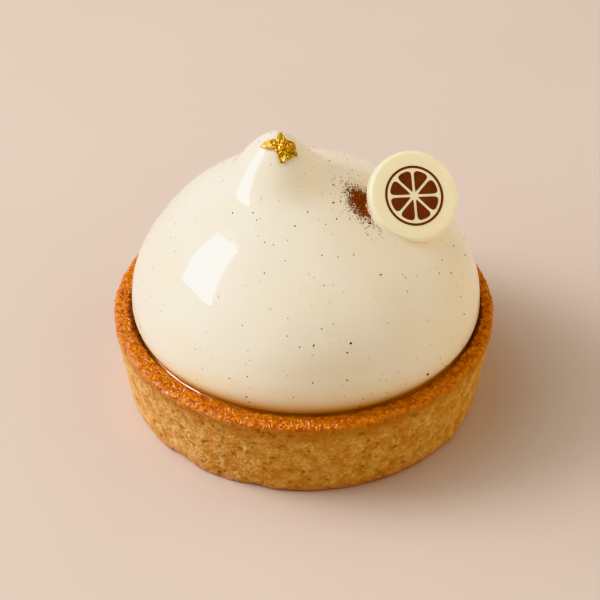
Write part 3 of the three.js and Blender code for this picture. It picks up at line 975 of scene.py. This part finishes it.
def scatter(name, spots, normals, sizes, flatness, sink, material):
    """One mesh of uneven balls that lie flat on a surface, sunk into it by a share of their height."""
    points, faces = ball()
    count = len(spots)
    side = np.cross(normals, draw.normal(size=(count, 3)))
    side /= np.linalg.norm(side, axis=1)[:, None]
    other = np.cross(normals, side)
    stretch = draw.uniform(*STRETCH, (count, 1, 2))
    shape = points[None] * (1 + UNEVENNESS * draw.uniform(-1, 1, (count, len(points), 1)))
    shape = np.concatenate([shape[:, :, :2] * stretch, shape[:, :, 2:] * flatness], axis=2)
    flat = sizes[:, None, None] * shape
    flat[:, :, 2] += (sizes * flatness * (1 - 2 * sink))[:, None]
    axes = np.stack([side, other, normals], axis=1)
    placed = spots[:, None, :] + np.einsum("npk,nkx->npx", flat, axes)
    offsets = (np.arange(count) * len(points))[:, None, None]
    joined = (faces[None] + offsets).reshape(-1, 3)
    return make_piece(name, placed.reshape(-1, 3), [tuple(face) for face in joined.tolist()], material)


# %% Vanilla specks
VANILLA_SPECKS = 360
VANILLA_SMALLEST, VANILLA_LARGEST, VANILLA_SKEW = 0.1, 0.24, 1.9
VANILLA_FLATNESS, VANILLA_SINK, VANILLA_CLEARANCE = 0.35, 0.6, 0.3
VANILLA_FIRST_RING, TIP_WEIGHT = 6, 0.5
VANILLA_TONES = (74, 44, 12), (32, 18, 3)


def spots_over_dome(count):
    """Spots spread evenly over the dome's skin, by a draw on its rings weighted with their area."""
    skin = slice(VANILLA_FIRST_RING, -1)
    points = dome_rings[skin].reshape(-1, 3)
    reach = np.hypot(points[:, 0], points[:, 1]) + TIP_WEIGHT
    chosen = draw.choice(len(points), size=count, replace=False, p=reach / reach.sum())
    return points[chosen], ring_normals(dome_rings)[skin].reshape(-1, 3)[chosen]


def vanilla_finish():
    return plain_finish("ground_vanilla", VANILLA_TONES, size=0.3, softness=0.2,
                        Roughness=0.8, Specular_IOR_Level=0.0)[0]


spots, normals = spots_over_dome(VANILLA_SPECKS)
clear = gap_to_disc(spots) > VANILLA_CLEARANCE
spots, normals = spots[clear], normals[clear]
sizes = VANILLA_SMALLEST + (VANILLA_LARGEST - VANILLA_SMALLEST) * draw.random(len(spots)) ** VANILLA_SKEW
vanilla = scatter("vanilla_specks", spots, normals, sizes, VANILLA_FLATNESS, VANILLA_SINK, vanilla_finish())
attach(vanilla, "root")

# %% Cocoa
CORE_SPREAD, STRAY_SPREAD = (2.1, 1.4), (3.2, 2.5)
COCOA_KINDS = {
    "core": (2400, CORE_SPREAD, 0.04, 0.15),
    "stray": (800, STRAY_SPREAD, 0.03, 0.1),
    "coarse": (26, CORE_SPREAD, 0.16, 0.26),
}
COCOA_FLATNESS, COCOA_SINK, COCOA_CLEARANCE = 0.7, 0.35, 0.15
COCOA_TONES = (170, 84, 26), (80, 30, 6)


def drift_spots(count, spread):
    """Spots on the dome, thickest in the middle of the drift and clear of the disc."""
    along = draw.normal(size=count) * spread[0]
    across = draw.normal(size=count) * spread[1]
    plan = DRIFT_MIDDLE + along[:, None] * DRIFT_ALONG + across[:, None] * DRIFT_ACROSS
    points, normals = on_dome(plan[:, 0], plan[:, 1])
    clear = gap_to_disc(points) > COCOA_CLEARANCE
    return points[clear], normals[clear]


def cocoa_finish():
    material, tree, shader = plain_finish("cocoa_powder", COCOA_TONES, size=0.3, softness=0.12,
                                          Roughness=0.9, Specular_IOR_Level=0.0)
    bump(tree, shader, grains(tree, size=0.08), depth=0.03)
    return material


found = [(*drift_spots(count, spread), low, high) for count, spread, low, high in COCOA_KINDS.values()]
spots = np.vstack([points for points, *_ in found])
normals = np.vstack([facing for _, facing, *_ in found])
sizes = np.concatenate([draw.uniform(low, high, len(points)) for points, _, low, high in found])
cocoa = scatter("cocoa_dust", spots, normals, sizes, COCOA_FLATNESS, COCOA_SINK, cocoa_finish())
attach(cocoa, "root")

# %% [markdown]
# Gold leaf is thinner than paper, so it lies crumpled and torn. The flake has six points, as the solid
# has: rings and spokes reach out to a torn edge. Crumpled foil is flat between sharp folds, so the rings
# are few, and each point is moved a little in the plan and lifted by a random height. The faces stay flat
# shaded, because the real flake glints by flat facets, and painted shade darkens its colour down in the
# folds.

# %% Lay the gold leaf
LEAF_MIDDLE = np.array([-4.4, 0.3])
LEAF_CORE = 1.45
LEAF_ARMS = {28: 2.7, 104: 2.5, 171: 3.9, 268: 3.0, 308: 2.4, 348: 2.8}
LEAF_ARM_WIDTH = math.radians(20)
LEAF_THICKNESS, LEAF_CLEARANCE = 0.04, 0.12
LEAF_RINGS, LEAF_SPOKES = 8, 44
CRUMPLE_SHIFT, CRUMPLE_RISE = 0.14, 0.5
TEAR_DEPTH, TEARS, TEAR_ROW = 0.16, 3, 2.5
GOLD_TONES, FOLD_SHADE_TONE = ((255, 218, 100), (242, 184, 52)), (150, 76, 4)
FOLD_FROM = 0.55


def leaf_reach(angles):
    reach = np.full(len(angles), LEAF_CORE)
    for arm, length in LEAF_ARMS.items():
        off = angles - math.radians(arm)
        away = np.arctan2(np.sin(off), np.cos(off)) / LEAF_ARM_WIDTH
        reach += (length - LEAF_CORE) * np.exp(-away**2)
    edge = [Vector((TEARS * math.cos(a), TEARS * math.sin(a), TEAR_ROW)) for a in angles]
    torn = np.array([waves(place, 1, falloff=0.8, layers=3) for place in edge])
    return reach * (1 + TEAR_DEPTH * torn)


def leaf_sides():
    """Rings of both sides from the middle to the torn edge, and how deep in a fold their points lie."""
    angles = np.linspace(0, 2 * math.pi, LEAF_SPOKES, endpoint=False)
    reach = np.linspace(0, 1, LEAF_RINGS + 1)[1:, None] * leaf_reach(angles)
    size = reach.shape
    x = LEAF_MIDDLE[0] + reach * np.cos(angles) + draw.uniform(-1, 1, size) * CRUMPLE_SHIFT
    y = LEAF_MIDDLE[1] + reach * np.sin(angles) + draw.uniform(-1, 1, size) * CRUMPLE_SHIFT
    points, normals = on_dome(x, y)
    rise = draw.random(size)
    under = points + normals * (LEAF_CLEARANCE + CRUMPLE_RISE * rise)[:, :, None]
    return under, under + normals * LEAF_THICKNESS, 1 - rise


def gold_finish():
    material, tree, shader = new_material("crumpled_gold_leaf")
    gold = two_tones(tree, GOLD_TONES, size=0.8, softness=0.2)
    # Painted shade: the colour darkens where a point lies low in a fold.
    folds = step_between(tree, attribute(tree, "fold"), FOLD_FROM, 1.0)
    paint(tree, shader, toned(tree, gold, FOLD_SHADE_TONE, folds, share=0.8))
    settle(shader, Metallic=0.75, Roughness=0.2)
    return material


under, upper, fold = leaf_sides()
leaf_rings = np.concatenate([under, upper[::-1]])
leaf_ends = under[0].mean(axis=0), upper[0].mean(axis=0)
leaf = piece_from_rings("gold_leaf_flake", leaf_rings, *leaf_ends, gold_finish())
add_marks(leaf, {"fold": np.concatenate([fold, fold[::-1]])})
leaf.data.shade_flat()
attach(leaf, "root")
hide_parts("gold_leaf")

# %% [markdown]
# The egg that was brushed on the rim dries in small beads, and each mirrors the window as one short glint.
# A rougher or smoother finish could not show that, because the rim lies flat and the window stands low
# beside it: only the flank of a bead faces halfway between the window and the camera. So the beads are
# scattered like the vanilla, on the rings of the rim, and each is turned the way that the dough faces.

# %% Egg wash on the rim
WASH_BEADS = 1000
WASH_SIZES = (0.15, 0.4)
WASH_FLATNESS, WASH_SINK = 0.6, 0.6
WASH_DROP, WASH_INNER = 0.5, 2.9
WASH_TONES = (234, 141, 30), (202, 99, 8)


def spots_on_rim(count):
    """Spots on the top of the rim, and the way that the dough faces there."""
    high = shell[:, 1] > SHELL_HEIGHT - WASH_DROP
    rows = np.flatnonzero(high & (shell[:, 0] > RIM_RADIUS - WASH_INNER))
    points = shell_rings[rows].reshape(-1, 3)
    chosen = draw.choice(len(points), size=count, replace=False)
    return points[chosen], ring_normals(shell_rings)[rows].reshape(-1, 3)[chosen]


def wash_finish():
    return plain_finish("dried_egg_wash", WASH_TONES, size=1.3, softness=0.14,
                        Roughness=0.06, Specular_IOR_Level=0.6)[0]


spots, normals = spots_on_rim(WASH_BEADS)
sizes = draw.uniform(*WASH_SIZES, WASH_BEADS)
wash = scatter("egg_wash_beads", spots, normals, sizes, WASH_FLATNESS, WASH_SINK, wash_finish())
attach(wash, "root")

# %% [markdown]
# The tartlet stands on a wide sheet of pale pinkish paper. One large window on the left lights it and draws
# the bright patch on the glaze. A single lamp could do both, but then one could not be set without the
# other, so a lamp lights the rough surfaces and a pane is mirrored by the shiny ones. The corners of the
# pane were found from where its mirror image lies on the dome, so it is slanted. A soft glow round the
# window and a warm fill from the right lighten the shadows.

# %% Paper
PAPER_HALF = 3000
PAPER_TONES = (215, 195, 176), (212, 192, 173)


def paper_finish():
    material, tree, shader = plain_finish("pale_paper", PAPER_TONES, size=60, softness=0.3, Roughness=0.8)
    bump(tree, shader, grains(tree, size=1.2), depth=0.02, strength=0.3)
    return material


corners = [(x * PAPER_HALF, y * PAPER_HALF, 0) for x, y in ((-1, -1), (1, -1), (1, 1), (-1, 1))]
sheet = make_piece("paper_floor", corners, [(0, 1, 2, 3)], paper_finish())

# %% Window
LIGHT_TURN, LIGHT_RISE = math.radians(-97), math.radians(36)
LIGHT_AIM = Vector((0, 0, 35))
LIGHT_DISTANCE, PANE_DISTANCE = 900, 880
LIGHT_WIDTH, LIGHT_HEIGHT = 460, 340
LIGHT_POWER, LIGHT_COLOUR = 4.15, (0.94, 0.99, 1.09)
PANE_RADIANCE = 36
PANE_CORNERS = (
    (-100, 15.5), (-70, 25.5), (-75, 36), (-81, 49), (-85, 58), (-95, 51.5), (-105, 42), (-106, 32),
)


def towards(turn, rise):
    """A direction by its turn from the front, to the right, and its rise."""
    level = math.cos(rise)
    return Vector((math.sin(turn) * level, -math.cos(turn) * level, math.sin(rise)))


def hang_daylight():
    """The window's light on rough surfaces."""
    window = bpy.data.lights.new("window_daylight", "AREA")
    window.shape = "RECTANGLE"
    window.size, window.size_y = LIGHT_WIDTH * MM, LIGHT_HEIGHT * MM
    window.energy = LIGHT_POWER
    window.color = LIGHT_COLOUR
    lamp = bpy.data.objects.new("window_daylight", window)
    away = towards(LIGHT_TURN, LIGHT_RISE)
    lamp.location = (LIGHT_AIM + away * LIGHT_DISTANCE) * MM
    lamp.rotation_euler = away.to_track_quat("Z", "Y").to_euler()
    lamp.visible_glossy = False
    bpy.context.scene.collection.objects.link(lamp)
    return lamp


def hang_pane():
    """The window as a bright pane that only shiny surfaces mirror."""
    material, _, shader = new_material("bright_pane")
    settle(shader, Base_Color=(0, 0, 0, 1), Emission_Color=(1, 1, 1, 1), Emission_Strength=PANE_RADIANCE)
    corners = [LIGHT_AIM + PANE_DISTANCE * towards(*map(math.radians, corner)) for corner in PANE_CORNERS]
    pane = make_piece("window_pane", corners, [tuple(range(len(corners)))], material)
    pane.visible_diffuse = False
    pane.visible_camera = False
    pane.visible_shadow = False


lamp = hang_daylight()
hang_pane()
print("window hangs at", [round(c, 3) for c in lamp.location])

# %% Room light
GLOW_COLOUR, GLOW_SHARPNESS = (2.9, 2.98, 3.2), 5.0
FILL_COLOUR, FILL_DIMMING = (1.47, 1.28, 1.02), 0.6
RIGHT = (1, 0, 0)


def dot(tree, first, second):
    values = {0: first, 1: second}
    return add(tree, "ShaderNodeVectorMath", values, operation="DOT_PRODUCT").outputs["Value"]


def fill_room():
    """A glow round the window, and a fill from the right that the glaze mirrors only faintly."""
    world = bpy.data.worlds.new("soft_room")
    world.use_nodes = True
    bpy.context.scene.world = world
    tree = world.node_tree
    ray = add(tree, "ShaderNodeTexCoord").outputs["Generated"]
    facing = dot(tree, ray, towards(LIGHT_TURN, LIGHT_RISE))
    fall = maths(tree, "MULTIPLY", maths(tree, "SUBTRACT", facing, 1.0), GLOW_SHARPNESS)
    glow = add(tree, "ShaderNodeMath", {0: fall}, operation="EXPONENT").outputs[0]
    mirrored = add(tree, "ShaderNodeLightPath").outputs["Is Glossy Ray"]
    dimmed = maths(tree, "SUBTRACT", 1.0, maths(tree, "MULTIPLY", mirrored, FILL_DIMMING))
    right = maths(tree, "MAXIMUM", dot(tree, ray, RIGHT), 0.0)
    fill = maths(tree, "MULTIPLY", right, dimmed)
    sides = {0: scaled(tree, GLOW_COLOUR, glow), 1: scaled(tree, FILL_COLOUR, fill)}
    light = add(tree, "ShaderNodeVectorMath", sides, operation="ADD").outputs[0]
    tree.links.new(light, tree.nodes["Background"].inputs["Color"])
    return world


room = fill_room()
print("room light", room.name)
bpy.context.scene.view_settings.view_transform = "Khronos PBR Neutral"

# %% [markdown]
# The camera looks down at the tartlet from the front with a long lens, as for a product picture. A short
# lens near by would show the same pieces, but it would bend the round rim, so the camera stands back.

# %% Camera
VIEW_RISE = math.radians(38.8)
VIEW_AIM = Vector((-0.79, 0, 20.4))
VIEW_DISTANCE = 500
PIXELS_ACROSS, FOCAL_PIXELS = 600, 2370


def stand_camera():
    lens = bpy.data.cameras.new("product_view")
    lens.sensor_fit = "HORIZONTAL"
    lens.angle = 2 * math.atan(PIXELS_ACROSS / 2 / FOCAL_PIXELS)
    camera = bpy.data.objects.new("product_view", lens)
    back = Vector((0, -math.cos(VIEW_RISE), math.sin(VIEW_RISE)))
    camera.location = (VIEW_AIM + back * VIEW_DISTANCE) * MM
    camera.rotation_euler = back.to_track_quat("Z", "Y").to_euler()
    bpy.context.scene.collection.objects.link(camera)
    bpy.context.scene.camera = camera
    return camera


camera = stand_camera()
print("camera at", [round(c, 3) for c in camera.location])
